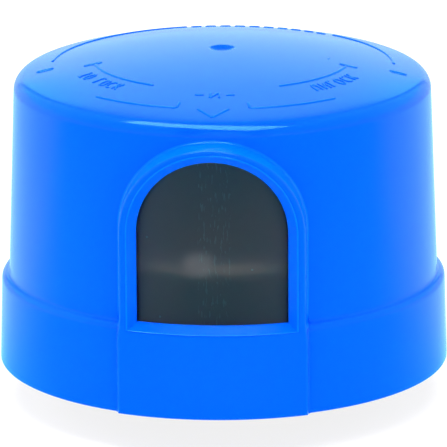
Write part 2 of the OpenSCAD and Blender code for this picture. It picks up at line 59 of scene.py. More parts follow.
# Sizes of the cover in millimetres, with heights above the rim
RIM_Z = -4.4
RIM_R = 42.0
RIM_ROUND, RIM_ROUND_IN = 0.3, 0.2
COVER_H = 59.0
SKIRT_H = 15.3
SKIRT_R = 41.55
SHOULDER = 1.42
FILLET = 0.5
WALL_R = SKIRT_R - SHOULDER
WALL_H = SKIRT_H + SHOULDER
SLOPE = math.tan(math.radians(2.1))
WALL_T = 2.0
SEAT_H = 14.4
DOME_R = 145.0
DOME_C = COVER_H - DOME_R
EDGE_R = 3.0
GATE_R = 2.4
GATE_DEPTH = 0.75
BOSS_R = 3.2
BOSS_TOP = 22.4
PILOT_R = 1.55
SCREW_R = 35.615
SCREW_ANGLES = (90, 210, 330)
INNER_EDGE = np.array([36.92, 51.6])

# Sizes of the window frame and the pane in millimetres
SPRING_H = 34.0
GAP_HALF = 16.2
HALF_W = 13.75
SILL_H = 17.25
SILL_DROP = 1.2
LAND = 15.5
FRAME = 16.95
FRAME_LOW = 0.4
FRAME_EDGE = 0.45
ROOT = 17.02
ROOT_FILLET = 0.3
SPLAY, SPLAY_H, SPLAY_RUN = 0.35, 18.0, 4.0
FRAME_R = 43.2
INSIDE_HALF, BURIED_HALF = 16.8, 17.0
WALL_LAP = 0.04
SIGHT_R = 41.0
PANE_SEAT_R = 40.4
POCKET = 15.35
POCKET_H = 15.65
POCKET_R = 38.6
PANE_HALF = 15.25
PANE_H = 15.75
PANE_OUT = 40.3
PANE_IN = 38.5

# Width past LAND and depth behind the frame's front of the outlines across the fine ridge
RIDGE = ((0.28, 0.06), (0.23, 0.13), (0.18, 0.13), (0.07, 0.02), (-0.02, 0.0), (-0.09, 0.05), (-0.16, 0.18))

# Radii of the marks on the top in millimetres
RING_R = 32.0
TURN_R = 23.9
BAR_R = 30.8
WORD_R = (25.7, 28.3)
COMPASS_R = (25.2, 27.6)
ARROW_R = 35.2
MARK_SIDES = 10
MARK_SINK = 0.12


def wall_out(h):
    """Radius of the side wall's outer face at height h: a straight line with the draft's slope."""
    return WALL_R - (h - WALL_H) * SLOPE


def wall_in(h):
    """Radius of the side wall's inner face at height h: one wall thickness inside the outer face."""
    return WALL_R + (WALL_H - SEAT_H) * SLOPE - WALL_T - (h - SEAT_H) * SLOPE


def skirt_in(h):
    """Radius of the skirt's inner face at height h: parallel to its tapered outer face."""
    return RIM_R - WALL_T - (RIM_R - SKIRT_R) * h / SKIRT_H


def dome_h(r):
    """Height of the dome at radius r: a sphere of radius DOME_R round a point on the axis."""
    return DOME_C + np.sqrt(DOME_R**2 - np.square(r))


def edge_centre():
    """Centre of the round between wall and dome: EDGE_R inside the wall's line and the dome's circle."""
    a = math.atan(SLOPE)
    n, u = np.array([math.cos(a), math.sin(a)]), np.array([-math.sin(a), math.cos(a)])
    p = np.array([WALL_R, WALL_H]) - EDGE_R * n
    d = p - np.array([0.0, DOME_C])
    k = d @ u
    return p + u * (-k + math.sqrt(k * k - d @ d + (DOME_R - EDGE_R) ** 2))


EDGE_C = edge_centre()
EDGE_A0 = math.atan(SLOPE)
EDGE_A1 = math.atan2(EDGE_C[1] - DOME_C, EDGE_C[0])
EDGE_H = EDGE_C[1] + EDGE_R * math.sin(EDGE_A0)


def outer_r(h):
    """Outer radius of the cover at height h: the skirt's line, the quarter round of the shoulder, the wall's
    line, the round of the edge."""
    h = np.asarray(h, float)
    skirt = RIM_R - (RIM_R - SKIRT_R) * h / SKIRT_H
    shoulder = WALL_R + np.sqrt(np.clip(SHOULDER**2 - (h - SKIRT_H) ** 2, 0, None))
    edge = EDGE_C[0] + np.sqrt(np.clip(EDGE_R**2 - (h - EDGE_C[1]) ** 2, 0, None))
    return np.select([h < SKIRT_H, h < WALL_H, h < EDGE_H], [skirt, shoulder, wall_out(h)], edge)


def new_piece(name, points, faces, sharp=35.0):
    """Puts points (millimetres above the rim) and faces into a smooth mesh object, with edges past an angle
    in degrees kept sharp."""
    points = np.asarray(points, float).reshape(-1, 3)
    placed = (points + (0.0, 0.0, RIM_Z)) * 0.001
    mesh = bpy.data.meshes.new(name)
    mesh.from_pydata(placed.tolist(), [], faces)
    mesh.polygons.foreach_set("use_smooth", np.ones(len(mesh.polygons), bool))
    mesh.set_sharp_from_angle(angle=math.radians(sharp))
    mesh.validate()
    mesh.update()
    piece = bpy.data.objects.new(name, mesh)
    scene.collection.objects.link(piece)
    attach(piece, "root")
    return piece


def ring_quads(rows, count):
    """Quads of a grid whose rows close on themselves: each joins two neighbours of a row to those of the next."""
    j, i = np.meshgrid(np.arange(rows - 1), np.arange(count), indexing="ij")
    k = (i + 1) % count
    return np.stack([j * count + i, j * count + k, (j + 1) * count + k, (j + 1) * count + i], -1)


def joined(parts):
    """Joins point and face arrays of several bodies into one pair of lists."""
    points, faces, start = [], [], 0
    for p, f in parts:
        points.append(np.asarray(p, float).reshape(-1, 3))
        faces += [(np.asarray(g) + start).tolist() for g in f]
        start += len(points[-1])
    return np.vstack(points), [q for g in faces for q in g]


def turned(profile, count):
    """A profile of (r, h) points from pole to pole, turned round the axis; its two ends lie on the axis."""
    profile = np.asarray(profile, float)
    a = np.arange(count) * 2 * np.pi / count
    body = profile[1:-1]
    h = np.broadcast_to(body[:, 1:], (len(body), count))
    ring = np.stack([body[:, :1] * np.sin(a), -body[:, :1] * np.cos(a), h], -1)
    poles = np.array([[0, 0, profile[0, 1]], [0, 0, profile[-1, 1]]])
    n, i = ring.shape[0] * count, np.arange(count)
    low = np.stack([np.full(count, n), (i + 1) % count, i], -1)
    high = np.stack([np.full(count, n + 1), n - count + i, n - count + (i + 1) % count], -1)
    return np.vstack([ring.reshape(-1, 3), poles]), [ring_quads(len(body), count).reshape(-1, 4), low, high]


def cover_rows():
    """Outer and inner section of the cover as matching rows of (r, h), from the rim to the axis.

    Outside: rounded rim, tapered skirt, quarter round with a small fillet, drafted wall, round of the edge,
    dome with its dimple. Inside: skirt, flat seat for the base, drafted wall, dome one wall thickness below."""
    t = np.linspace(0, 1, 5)[:-1] * np.pi / 2
    rim = np.stack([RIM_R - RIM_ROUND * (1 - np.sin(t)), RIM_ROUND * (1 - np.cos(t))], -1)
    rim_in = np.stack([RIM_R - WALL_T + RIM_ROUND_IN * (1 - np.sin(t)), RIM_ROUND_IN * (1 - np.cos(t))], -1)
    h = np.linspace(RIM_ROUND, SKIRT_H, 13)[:-1]
    skirt = np.stack([outer_r(h), h], -1)
    g = np.linspace(RIM_ROUND_IN, SEAT_H, 13)[:-1]
    skirt_i = np.stack([skirt_in(g), g], -1)
    rise = math.sqrt((SHOULDER + FILLET) ** 2 - FILLET**2)
    meet = math.atan2(rise, FILLET)
    a = np.linspace(0, meet, 10)[:-1]
    bead = np.stack([WALL_R + SHOULDER * np.cos(a), SKIRT_H + SHOULDER * np.sin(a)], -1)
    a = np.linspace(meet, 0, 8)[:-1]
    root = np.stack([WALL_R + FILLET - FILLET * np.cos(a), SKIRT_H + rise - FILLET * np.sin(a)], -1)
    shoulder = np.vstack([bead, root])
    t = np.linspace(0, 1, 17)[:-1]
    seat_r = np.interp(t, [0, 0.5, 1], [skirt_in(SEAT_H), wall_in(SEAT_H), wall_in(WALL_H)])
    seat = np.stack([seat_r, np.interp(t, [0, 0.5, 1], [SEAT_H, SEAT_H, WALL_H])], -1)
    h = np.linspace(SKIRT_H + rise, EDGE_H, 64)[:-1]
    wall = np.stack([wall_out(h), h], -1)
    wall_i = np.stack([wall_in(h), h], -1)
    t = np.linspace(0, 1, 17)[:-1]
    a = EDGE_A0 + (EDGE_A1 - EDGE_A0) * t
    edge = EDGE_C + EDGE_R * np.stack([np.cos(a), np.sin(a)], -1)
    wall_top = np.array([wall_in(EDGE_H), EDGE_H])
    edge_i = wall_top + t[:, None] * (INNER_EDGE - wall_top)
    last = EDGE_C[0] + EDGE_R * math.cos(EDGE_A1)
    r = np.concatenate([np.linspace(last, 3.4, 26), np.linspace(3.1, 0.25, 14)])
    dip = GATE_DEPTH * (1 - np.clip(r / GATE_R, 0, 1) ** 2)
    dome = np.stack([r, dome_h(r) - dip], -1)
    q = r * INNER_EDGE[0] / last
    dome_i = np.stack([q, DOME_C + np.sqrt((DOME_R - WALL_T) ** 2 - q**2)], -1)
    outside = np.vstack([rim, skirt, shoulder, wall, edge, dome])
    return outside, np.vstack([rim_in, skirt_i, seat, wall_i, edge_i, dome_i])


def cover_wall():
    """The cover's round wall: both sections turned round the axis, with the cells behind the window left out
    of both faces, and the two faces joined along the edge of that gap and at the rim."""
    out, inn = cover_rows()
    front = np.linspace(-30, 30, 85)
    theta = np.radians(np.concatenate([front, np.linspace(30, 330, 152)[1:-1]]))
    n, rows = len(theta), len(out)
    s, c = np.sin(theta), -np.cos(theta)

    def turn(section):
        """The rows of a section set at each angle round the axis."""
        r, h = section[:, :1], section[:, 1:]
        return np.stack([r * s, r * c, np.broadcast_to(h, (rows, n))], -1)

    po, pi = turn(out), turn(inn)
    centre = 0.25 * (po[:-1] + po[1:] + np.roll(po, -1, 1)[:-1] + np.roll(po, -1, 1)[1:])
    x, y, h = centre[..., 0], centre[..., 1], centre[..., 2]
    inside = np.where(h < SPRING_H, np.abs(x) < GAP_HALF, x**2 + (h - SPRING_H) ** 2 < GAP_HALF**2)
    gap = inside & (y < 0) & (h > SKIRT_H)
    keep = ~gap
    quads = ring_quads(rows, n)
    m = rows * n
    parts = [quads[keep], (quads + m)[keep][:, ::-1]]
    i = np.arange(n)
    k = (i + 1) % n
    parts.append(np.stack([k, i, m + i, m + k], -1))

    def gap_side(cells, first, second):
        """Quads from face to face along one side of some cells, between two of a cell's corners, which are given
        as steps of row and column."""
        row, column = np.nonzero(cells)
        a, b = ((row + up) * n + (column + on) % n for up, on in (first, second))
        parts.append(np.stack([a, b, m + b, m + a], -1))

    none = np.zeros((1, n), bool)
    gap_side(gap & ~np.roll(gap, 1, 1), (0, 0), (1, 0))
    gap_side(np.roll(gap, 1, 1) & ~gap, (1, 0), (0, 0))
    gap_side(np.vstack([gap[1:] & ~gap[:-1], none]), (1, 1), (1, 0))
    gap_side(np.vstack([gap[:-1] & ~gap[1:], none]), (1, 0), (1, 1))
    poles = np.array([[0, 0, COVER_H - GATE_DEPTH], [0, 0, COVER_H - WALL_T]])
    top = (rows - 1) * n
    parts.append(np.stack([np.full(n, 2 * m), top + i, top + k], -1))
    parts.append(np.stack([np.full(n, 2 * m + 1), m + top + k, m + top + i], -1))
    return np.vstack([po.reshape(-1, 3), pi.reshape(-1, 3), poles]), parts


def arch_loop(half, bottom, low=0.0):
    """Closed outline of an arched opening as x and h: up the right leg, over the half circle, which may be a
    little lower than wide, down the left leg and along the bottom. The legs are sampled most closely at the
    shoulder."""
    t = np.concatenate([np.linspace(0, 0.42, 14), np.linspace(0.43, 0.52, 22), np.linspace(0.535, 1, 26)[:-1]])
    arch = np.linspace(0, np.pi, 81)[:-1]
    sill = np.linspace(-half, half, 33)[1:-1]
    leg_h = bottom + (SPRING_H - bottom) * t
    over = SPRING_H + (half - low) * np.sin(arch)
    x = np.concatenate([np.full(len(t), half), half * np.cos(arch), np.full(len(t) + 1, -half), sill])
    h = np.concatenate([leg_h, over, [SPRING_H], leg_h[::-1], np.full(len(sill), bottom)])
    return x, h


def laid(x, h, r):
    """An outline laid on an upright surface of radius r, which may change along the outline."""
    return np.stack([x, -np.sqrt(np.square(r) - np.square(x)), h], -1)


def splayed(x, h):
    """An outline spread a little wider below the shoulder: it is scaled by a smooth step of its height."""
    t = np.clip((SPLAY_H - h) / SPLAY_RUN, 0, 1)
    return x * (1 + SPLAY / FRAME * t * t * (3 - 2 * t))


def window_frame():
    """The frame as a closed ring: outlines laid on the wall, round the fillet at its root, up the steep side,
    over the rounded front edge, across the front, over a fine ridge, down the sloped reveal, along the lip,
    round the pane's pocket and back into the wall."""
    loops = []

    def on_wall(lift, spread, bottom):
        """The root's outline, spread wider and lifted off the cover's outer face."""
        x, h = arch_loop(ROOT + spread, bottom)
        return laid(splayed(x, h), h, outer_r(h) + lift)

    def within_wall(h):
        """Radius inside the wall's thickness at height h, through the skirt, the shoulder and the side wall."""
        return np.interp(h, [0, 14.6, 16.9, 51.5], [41.0, 40.6, wall_in(16.9) + 1.1, wall_in(51.5) + 1.1])

    loops.append(on_wall(-0.8, ROOT_FILLET, 0.4))
    loops.append(on_wall(-WALL_LAP, ROOT_FILLET, 0.0))
    for a in np.radians([15, 35, 55, 75, 90]):
        loops.append(on_wall(ROOT_FILLET * (1 - math.cos(a)), ROOT_FILLET * (1 - math.sin(a)), 0.0))
    for a in np.radians([0, 12, 24, 36, 48, 60, 70, 80, 90]):
        x, h = arch_loop(FRAME - FRAME_EDGE * (1 - math.cos(a)), 0.4 * (1 - math.cos(a)), FRAME_LOW)
        loops.append(laid(splayed(x, h), h, FRAME_R - FRAME_EDGE * (1 - math.sin(a))))
    for w, d in RIDGE:
        x, h = arch_loop(LAND + w, SILL_H - SILL_DROP - w * 0.8)
        loops.append(laid(x, h, FRAME_R - d))
    for half, bottom, r in (
        (HALF_W + 0.08, SILL_H - 0.06, SIGHT_R + 0.1),
        (HALF_W, SILL_H, SIGHT_R - 0.05),
        (HALF_W, SILL_H, PANE_SEAT_R),
        (POCKET, POCKET_H, PANE_SEAT_R),
        (POCKET, POCKET_H, POCKET_R),
    ):
        x, h = arch_loop(half, bottom)
        loops.append(laid(x, h, r))
    for half, bottom, lift in (
        (POCKET, POCKET_H, -WALL_LAP),
        (INSIDE_HALF, SEAT_H + 0.06, -WALL_LAP),
        (BURIED_HALF, SEAT_H + 0.4, 0.6),
    ):
        x, h = arch_loop(half, bottom)
        loops.append(laid(x, h, wall_in(h) + lift))
    loops.append(laid(x, h, within_wall(h)))
    grid = np.stack(loops)
    k, n = grid.shape[:2]
    j, i = np.meshgrid(np.arange(k), np.arange(n), indexing="ij")
    a, b = j * n + i, j * n + (i + 1) % n
    c, d = ((j + 1) % k) * n + (i + 1) % n, ((j + 1) % k) * n + i
    return grid.reshape(-1, 3), [np.stack([a, b, c, d], -1).reshape(-1, 4)]


def screw_boss(angle):
    """A screw boss: a turned profile with a blind pilot hole, set at the screw circle at an angle."""
    low, end = SEAT_H + 0.2, BOSS_TOP - 1
    profile = [(0, end), (PILOT_R, end), (PILOT_R, low), (BOSS_R, low), (BOSS_R, BOSS_TOP), (0, BOSS_TOP)]
    points, faces = turned(profile, 40)
    a = math.radians(angle)
    return points + (SCREW_R * math.cos(a), SCREW_R * math.sin(a), 0), faces


def window_plate():
    """The pane: two curved faces on concentric cylinders. Rows run across at constant height, their width
    following the arch up to a point at the top, and an edge strip joins the faces all round."""
    phi = np.linspace(0, np.pi / 2, 49)
    h = np.concatenate([np.linspace(PANE_H, SPRING_H, 33)[:-1], SPRING_H + PANE_HALF * np.sin(phi[:-1])])
    w = np.concatenate([np.full(32, PANE_HALF), PANE_HALF * np.cos(phi[:-1])])
    u = np.linspace(-1, 1, 65)
    x = w[:, None] * u
    hh = np.broadcast_to(h[:, None], x.shape)
    rows, n = x.shape
    faces_at = [laid(x, hh, r).reshape(-1, 3) for r in (PANE_OUT, PANE_IN)]
    tops = np.array([[0, -PANE_OUT, SPRING_H + PANE_HALF], [0, -PANE_IN, SPRING_H + PANE_HALF]])
    j, i = np.meshgrid(np.arange(rows - 1), np.arange(n - 1), indexing="ij")
    q = np.stack([j * n + i, j * n + i + 1, (j + 1) * n + i + 1, (j + 1) * n + i], -1).reshape(-1, 4)
    m, i, j = rows * n, np.arange(n - 1), np.arange(rows - 1)
    last = (rows - 1) * n
    parts = [q, q[:, ::-1] + m]
    parts.append(np.stack([last + i, last + i + 1, np.full(n - 1, 2 * m)], -1))
    parts.append(np.stack([m + last + i + 1, m + last + i, np.full(n - 1, 2 * m + 1)], -1))
    parts.append(np.stack([i + 1, i, m + i, m + i + 1], -1))
    parts.append(np.stack([j * n, (j + 1) * n, m + (j + 1) * n, m + j * n], -1))
    e = n - 1
    parts.append(np.stack([(j + 1) * n + e, j * n + e, m + j * n + e, m + (j + 1) * n + e], -1))
    parts.append(np.array([[last, 2 * m, 2 * m + 1, m + last], [2 * m, last + e, m + last + e, 2 * m + 1]]))
    return np.vstack(faces_at + [tops]), parts


def raised_line(x, y, width=0.62, height=0.2):
    """A raised line on the dome: a half-round section carried along a path given by x and y, sunk a little
    into the dome and drawn to a point at both ends."""
    path = np.stack([x, y], -1)
    step = np.linalg.norm(np.diff(path, axis=0), axis=1)
    s = np.concatenate([[0], np.cumsum(step)])
    count = max(6, int(s[-1] / 0.45))
    tip = np.array([0, 0.05, 0.15])
    t = np.concatenate([tip, np.linspace(0.3, s[-1] - 0.3, count), s[-1] - tip[::-1]])
    p = np.stack([np.interp(t, s, path[:, 0]), np.interp(t, s, path[:, 1])], -1)
    d = np.gradient(p, axis=0)
    d /= np.linalg.norm(d, axis=1)[:, None]
    side = np.stack([-d[:, 1], d[:, 0]], -1)
    end = np.minimum(t, s[-1] - t)
    grow = np.sqrt(np.clip(1 - (1 - np.clip(end / (0.5 * width), 0, 1)) ** 2, 0, 1))
    a = np.arange(MARK_SIDES) * 2 * np.pi / MARK_SIDES
    q = p[1:-1, None, :] + side[1:-1, None, :] * (0.5 * width * np.cos(a) * grow[1:-1, None])[..., None]
    lift = np.where(np.sin(a) > 0, height, MARK_SINK) * np.sin(a) * grow[1:-1, None]
    z = dome_h(np.hypot(q[..., 0], q[..., 1])) + lift
    ring = np.concatenate([q, z[..., None]], -1)
    rows = len(ring)
    ends = np.stack([np.append(e, dome_h(np.hypot(*e))) for e in (p[0], p[-1])])
    m, n, i = MARK_SIDES, rows * MARK_SIDES, np.arange(MARK_SIDES)
    first = np.stack([np.full(m, n), (i + 1) % m, i], -1)
    last = np.stack([np.full(m, n + 1), n - m + i, n - m + (i + 1) % m], -1)
    return np.vstack([ring.reshape(-1, 3), ends]), [ring_quads(rows, m).reshape(-1, 4), first, last]


def polar(r, degrees):
    """Points at radius r and an angle counted from the window towards +X."""
    a = np.radians(degrees)
    return r * np.sin(a), -r * np.cos(a)


def arc_line(r, start, stop, **kind):
    """A raised line along a circle of the dome between two angles."""
    return raised_line(*polar(r, np.linspace(start, stop, 96)), **kind)


def tick_line(r0, r1, angle, **kind):
    """A raised line along a radius of the dome."""
    return raised_line(*polar(np.linspace(r0, r1, 8), angle), **kind)


# Strokes of the capital letters, in a cell one wide and one high
STROKES = {
    "C": [[(0.9, 0.85), (0.6, 1.0), (0.2, 0.85), (0.05, 0.5), (0.2, 0.15), (0.6, 0.0), (0.9, 0.15)]],
    "K": [[(0.1, 0), (0.1, 1)], [(0.85, 1), (0.12, 0.45)], [(0.35, 0.6), (0.9, 0)]],
    "L": [[(0.1, 1), (0.1, 0), (0.85, 0)]],
    "N": [[(0.1, 0), (0.1, 1), (0.9, 0), (0.9, 1)]],
    "O": [[(0.5, 1), (0.15, 0.85), (0.05, 0.5), (0.15, 0.15), (0.5, 0),
           (0.85, 0.15), (0.95, 0.5), (0.85, 0.85), (0.5, 1)]],
    "T": [[(0.05, 1), (0.95, 1)], [(0.5, 1), (0.5, 0)]],
    "U": [[(0.1, 1), (0.1, 0.3), (0.3, 0.03), (0.7, 0.03), (0.9, 0.3), (0.9, 1)]],
    "-": [[(0.1, 0.5), (0.9, 0.5)]],
    " ": [],
}


def word_lines(word, angle, radii, pitch):
    """The strokes of a word set along a circle, tops outwards: across a letter runs along the circle, up a letter
    along the radius, and a letter takes up 0.72 of its pitch."""
    lines = []
    for i, letter in enumerate(word):
        for stroke in STROKES[letter]:
            points = np.array(stroke)
            r = radii[0] + (radii[1] - radii[0]) * points[:, 1]
            a = angle + (i - len(word) / 2 + 0.14 + 0.72 * points[:, 0]) * pitch
            k = np.arange(len(points))
            n = np.linspace(0, len(points) - 1, 8 * len(points))
            x, y = polar(np.interp(n, k, r), np.interp(n, k, a))
            lines.append(raised_line(x, y, width=0.46, height=0.18))
    return lines


def top_mark_lines():
    """All raised lines of the dome: the broken outer ring with its ticks, the two turning arcs with their end
    bars, the words beside them, the compass arrow over the window and the row of short bars at the back."""
    lines = [arc_line(RING_R, 95, 142), arc_line(RING_R, 195, 265)]
    for s in (-1, 1):
        lines.append(tick_line(31.3, 34.6, 84.5 * s, width=1.2, height=0.25))
        lines.append(arc_line(RING_R, 12 * s, 43 * s))
        lines.append(tick_line(29.7, 31.9, 12 * s))
        lines.append(arc_line(TURN_R, 28.5 * s, 76 * s))
        lines.append(tick_line(22.5, 26.0, 77.5 * s))
        x, y = polar(np.array([RING_R, ARROW_R]), np.array([5.2 * s, 0.0]))
        lines.append(raised_line(np.linspace(x[0], x[1], 12), np.linspace(y[0], y[1], 12)))
    lines += word_lines("TO LOCK", -53.5, WORD_R, 3.9)
    lines += word_lines("UNLOCK", 53.5, WORD_R, 4.4)
    lines += word_lines("-N-", 0.0, COMPASS_R, 6.2)
    for a in np.arange(143.4, 194, 5.2):
        lines.append(arc_line(BAR_R, a, a + 3.9, width=0.8))
    lines.append(arc_line(20.0, 82, 86, width=0.4, height=0.06))
    return lines


# Camera: fitted to the outline, the rim, the shoulder and the ring on the top
ELEVATION, AZIMUTH, ROLL = math.radians(15.54), math.radians(3.0), math.radians(-0.342)
IMAGE_PX, FOCAL_PX, SENSOR_MM = 447.0, 5605.0, 36.0
AIM_RIGHT, AIM_UP, CAMERA_FAR = 0.000072, 0.0207, 1.05
flat = math.cos(ELEVATION)
back = Vector((math.sin(AZIMUTH) * flat, -math.cos(AZIMUTH) * flat, math.sin(ELEVATION)))
right = Vector((math.cos(AZIMUTH), math.sin(AZIMUTH), 0))
up = back.cross(right)
right_r = right * math.cos(ROLL) + up * math.sin(ROLL)
up_r = up * math.cos(ROLL) - right * math.sin(ROLL)
cam_data = bpy.data.cameras.new("photo_camera")
cam_data.sensor_width = SENSOR_MM
cam_data.lens = FOCAL_PX / IMAGE_PX * SENSOR_MM
cam_data.clip_start, cam_data.clip_end = 0.05, 50.0
camera = bpy.data.objects.new("photo_camera", cam_data)
scene.collection.objects.link(camera)
turn = Matrix((right_r, up_r, back)).transposed().to_4x4()
aim = right * AIM_RIGHT + Vector((0, 0, AIM_UP))
camera.matrix_world = Matrix.Translation(aim + back * CAMERA_FAR) @ turn
scene.camera = camera

# Pieces
bosses = [screw_boss(angle) for angle in SCREW_ANGLES]
cover = new_piece("cover_moulding", *joined([cover_wall(), window_frame()] + bosses))
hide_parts("cover")
marks = new_piece("top_marks", *joined(top_mark_lines()), sharp=60)
pane = new_piece("window_glass", *joined([window_plate()]))
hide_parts("window_pane")

# Kinds of sockets, and plain tones
FLOAT, COLOUR = "NodeSocketFloat", "NodeSocketColor"
WHITE, BLACK = (1.0, 1.0, 1.0), (0.0, 0.0, 0.0)


def shared_group(name, inputs, outputs):
    """An empty shader node group and the sockets inside it. An input is given by name with its value, a number
    or a colour, and an output with its kind."""
    group = bpy.data.node_groups.new(name, "ShaderNodeTree")
    for label, value in inputs.items():
        kind = COLOUR if isinstance(value, tuple) else FLOAT
        group.interface.new_socket(label, in_out="INPUT", socket_type=kind).default_value = value
    for label, kind in outputs.items():
        group.interface.new_socket(label, in_out="OUTPUT", socket_type=kind)
    return group, group.nodes.new("NodeGroupInput").outputs, group.nodes.new("NodeGroupOutput").inputs


def put(tree, kind, **values):
    """Adds a node to a tree and sets its properties."""
    node = tree.nodes.new(kind)
    for key, value in values.items():
        setattr(node, key, value)
    return node


def worked(tree, operation, *values):
    """The result of a Math node. A value is a number or the output of another node."""
    node = put(tree, "ShaderNodeMath", operation=operation)
    for socket, value in zip(node.inputs, values):
        if isinstance(value, float):
            socket.default_value = value
        else:
            tree.links.new(value, socket)
    return node.outputs[0]


def length_of(tree, vector):
    """The length of a vector."""
    node = put(tree, "ShaderNodeVectorMath", operation="LENGTH")
    tree.links.new(vector, node.inputs[0])
    return node.outputs["Value"]


def along(tree, vector, axis):
    """The length of a vector along an axis."""
    dot = put(tree, "ShaderNodeVectorMath", operation="DOT_PRODUCT")
    dot.inputs[1].default_value = axis
    tree.links.new(vector, dot.inputs[0])
    return dot.outputs["Value"]


def ramp(tree, value, start, stop, low=0.0, high=1.0):
    """A smooth rise or fall from one level to another between two values."""
    node = put(tree, "ShaderNodeMapRange", interpolation_type="SMOOTHSTEP")
    for key, number in (("From Min", start), ("From Max", stop), ("To Min", low), ("To Max", high)):
        node.inputs[key].default_value = number
    tree.links.new(value, node.inputs["Value"])
    return node.outputs[0]


def two_tone(tree, mask, first, second):
    """The first tone, or the second where the mask is one. A tone is three levels or the output of a node."""
    mix = put(tree, "ShaderNodeMix", data_type="RGBA")
    tree.links.new(mask, mix.inputs[0])
    for socket, tone in ((mix.inputs[6], first), (mix.inputs[7], second)):
        if isinstance(tone, tuple):
            socket.default_value = (*tone, 1)
        else:
            tree.links.new(tone, socket)
    return mix.outputs[2]


def object_place(tree):
    """The object coordinates, as a vector."""
    return put(tree, "ShaderNodeTexCoord").outputs["Object"]


def parted(tree, vector):
    """The x, y and z of a vector."""
    axes = put(tree, "ShaderNodeSeparateXYZ")
    tree.links.new(vector, axes.inputs[0])
    return axes.outputs


def noise_at(tree, place, scale, detail, rough=0.5):
    """A noise at a place, with its scale as a number or the output of another node."""
    noise = put(tree, "ShaderNodeTexNoise")
    noise.inputs["Detail"].default_value = detail
    noise.inputs["Roughness"].default_value = rough
    tree.links.new(place, noise.inputs["Vector"])
    if isinstance(scale, float):
        noise.inputs["Scale"].default_value = scale
    else:
        tree.links.new(scale, noise.inputs["Scale"])
    return noise.outputs["Fac"]


def make_mould_grain():
    """Grain of a moulded surface: a fine noise for the bump, a broad one that drifts the gloss and the tone, and
    a slow swell."""
    group, ins, outs = shared_group(
        "mould_grain",
        {"Fine": 2600.0, "Broad": 60.0, "Gloss": 0.3, "Drift": 0.08, "Tone": (0.5, 0.5, 0.5, 1), "Shade": 0.05,
         "Swell": 32.0},
        {"Height": FLOAT, "Roughness": FLOAT, "Color": COLOUR, "Swell": FLOAT})
    link, place = group.links.new, object_place(group)
    link(noise_at(group, place, ins["Fine"], 3.0, 0.6), outs["Height"])
    link(noise_at(group, place, ins["Swell"], 1.0, 0.4), outs["Swell"])
    centred = worked(group, "SUBTRACT", noise_at(group, place, ins["Broad"], 4.0, 0.55), 0.5)
    link(worked(group, "MULTIPLY_ADD", centred, ins["Drift"], ins["Gloss"]), outs["Roughness"])
    tone = put(group, "ShaderNodeVectorMath", operation="SCALE")
    link(ins["Tone"], tone.inputs[0])
    link(worked(group, "MULTIPLY_ADD", centred, ins["Shade"], 1.0), tone.inputs["Scale"])
    link(tone.outputs[0], outs["Color"])
    return group


def make_specks():
    """Scattered specks: the middles of a share of the cells of a Voronoi pattern, as a mask."""
    group, ins, outs = shared_group("specks", {"Scale": 400.0, "Size": 0.12, "Share": 0.2}, {"Mask": FLOAT})
    link = group.links.new
    cells = put(group, "ShaderNodeTexVoronoi", feature="F1")
    link(object_place(group), cells.inputs["Vector"])
    link(ins["Scale"], cells.inputs["Scale"])
    pick = put(group, "ShaderNodeSeparateColor")
    link(cells.outputs["Color"], pick.inputs[0])
    near = worked(group, "LESS_THAN", cells.outputs["Distance"], ins["Size"])
    some = worked(group, "LESS_THAN", pick.outputs[0], ins["Share"])
    link(worked(group, "MULTIPLY", near, some), outs["Mask"])
    return group


def make_scratches():
    """Fine upright scratches: a noise drawn out along z, kept above a threshold and inside a strip round
    x = Middle, as a mask."""
    group, ins, outs = shared_group("scratches", {"Middle": 0.0, "Half": 0.003, "Cut": 0.62}, {"Mask": FLOAT})
    place = object_place(group)
    drawn = put(group, "ShaderNodeVectorMath", operation="MULTIPLY")
    drawn.inputs[1].default_value = (2600.0, 0.0, 500.0)
    group.links.new(place, drawn.inputs[0])
    fine = worked(group, "GREATER_THAN", noise_at(group, drawn.outputs[0], 1.0, 2.0), ins["Cut"])
    strip = worked(group, "COMPARE", parted(group, place)["X"], ins["Middle"], ins["Half"])
    group.links.new(worked(group, "MULTIPLY", fine, strip), outs["Mask"])
    return group


def make_recess():
    """A mask of painted light, one on the window's reveal, hood and flanks, where a lighter tone stands in for
    the light that falls there: the distance from the arch's centre, or from the middle line below it, is less
    than the reveal's half width, or less than the root's where the surface lies behind the frame's front;
    always above the sill and on the window's side. All in metres."""
    group, ins, outs = shared_group("recess", {"Reveal": 0.0157, "Root": 0.0174, "Front": 0.0429}, {"Mask": FLOAT})
    x, y, z = parted(group, object_place(group))

    def span(first, second):
        """The length of two parts at right angles."""
        pair = put(group, "ShaderNodeCombineXYZ")
        group.links.new(first, pair.inputs[0])
        group.links.new(second, pair.inputs[1])
        return length_of(group, pair.outputs[0])

    over_spring = worked(group, "SUBTRACT", z, (SPRING_H + RIM_Z) * 0.001)
    reach = span(x, worked(group, "MAXIMUM", over_spring, 0.0))
    set_back = worked(group, "LESS_THAN", span(x, y), ins["Front"])
    flanks = worked(group, "MULTIPLY", worked(group, "LESS_THAN", reach, ins["Root"]), set_back)
    either = worked(group, "MAXIMUM", worked(group, "LESS_THAN", reach, ins["Reveal"]), flanks)
    over_sill = worked(group, "GREATER_THAN", z, (SILL_H - SILL_DROP + RIM_Z) * 0.001)
    window_side = worked(group, "LESS_THAN", y, -0.035)
    bounds = worked(group, "MULTIPLY", over_sill, window_side)
    group.links.new(worked(group, "MULTIPLY", either, bounds), outs["Mask"])
    return group


MOULD_GRAIN, SPECKS, SCRATCHES, PAINTED_LIGHT_GROUP = make_mould_grain(), make_specks(), make_scratches(), make_recess()
GRAIN_DEPTH = 0.0002
UNDER_RADIUS, UNDER_SCALE = (0.2, 0.6, 1.6), 0.002


def shared(tree, group, **values):
    """Places a shared group in a material, with its own values."""
    node = put(tree, "ShaderNodeGroup", node_tree=group)
    for key, value in values.items():
        node.inputs[key].default_value = value
    return node.outputs


